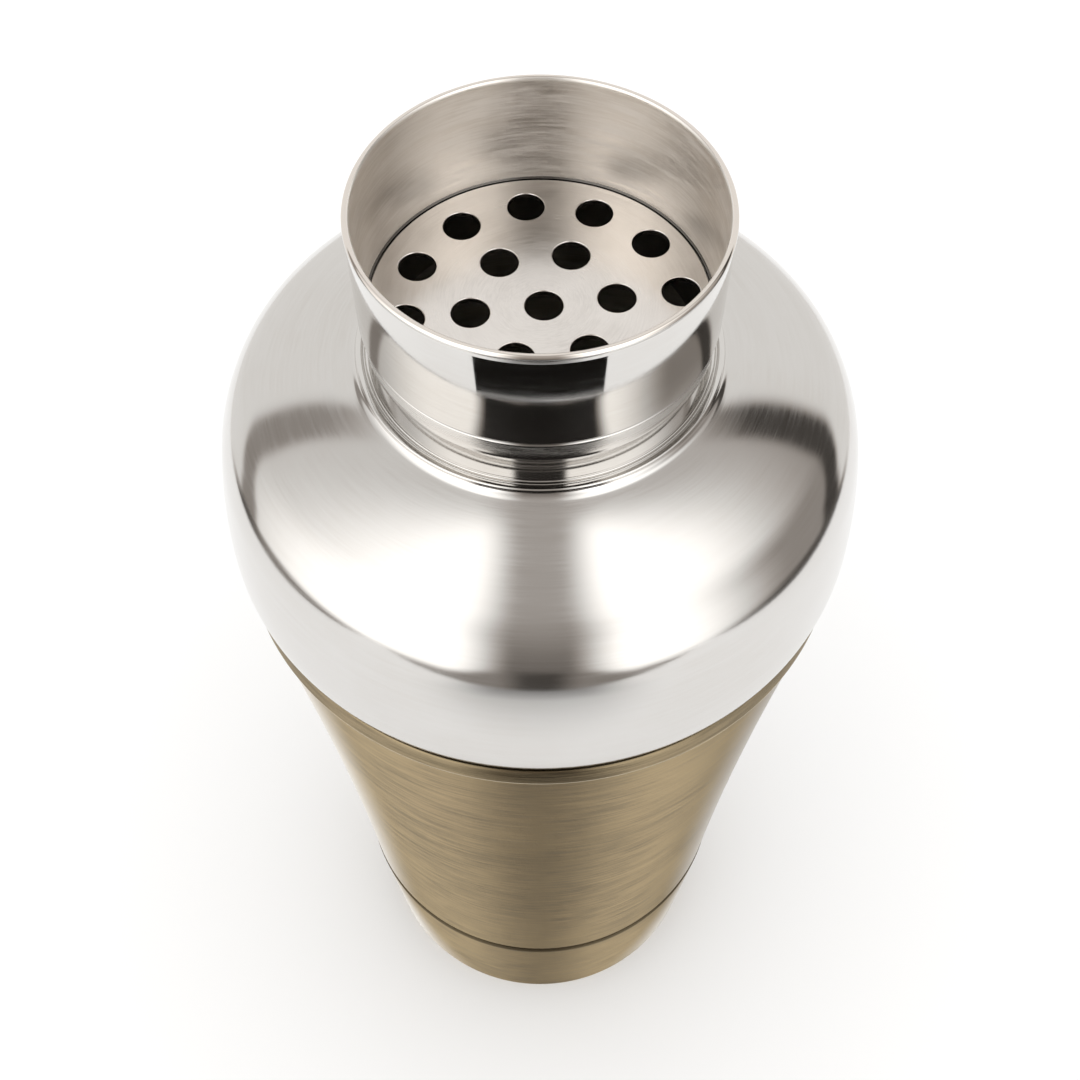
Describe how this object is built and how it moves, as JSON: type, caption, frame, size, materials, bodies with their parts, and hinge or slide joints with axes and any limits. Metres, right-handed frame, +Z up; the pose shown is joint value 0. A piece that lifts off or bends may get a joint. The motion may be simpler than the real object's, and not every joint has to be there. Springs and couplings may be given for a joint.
{
  "type": "cocktail shaker",
  "caption": "Cobbler cocktail shaker with its cap off: tapered antique-brass cup on a capped foot, and a domed steel top with neck ring, pouring collar and punched strainer plate.",
  "frame": {"origin": "centre of the foot at the table", "axes": "+Z up along the shaker's axis, from the foot to the pouring rim; +X to the right and -Y to the front of the strainer's hole pattern"},
  "size_m": [0.0918, 0.0918, 0.1905],
  "materials": {
    "antique_brass": "brushed round the cup",
    "satin_steel": "fine satin polish",
    "polished_steel": "mirror polish outside, brushed inside",
    "weight_steel": "plain"
  },
  "bodies": {
    "cup": {"cup_shell": "antique_brass", "base_cap": "antique_brass", "base_weight": "weight_steel"},
    "strainer_top": {"top_shell": "satin_steel", "neck_ring": "polished_steel", "collar": "polished_steel", "strainer_plate": "satin_steel"}
  },
  "joints": [
    {"name": "top_lift", "type": "slide", "parent": "cup", "child": "strainer_top", "axis": [0, 0, 1], "range_m": [0, 0.06]}
  ]
}
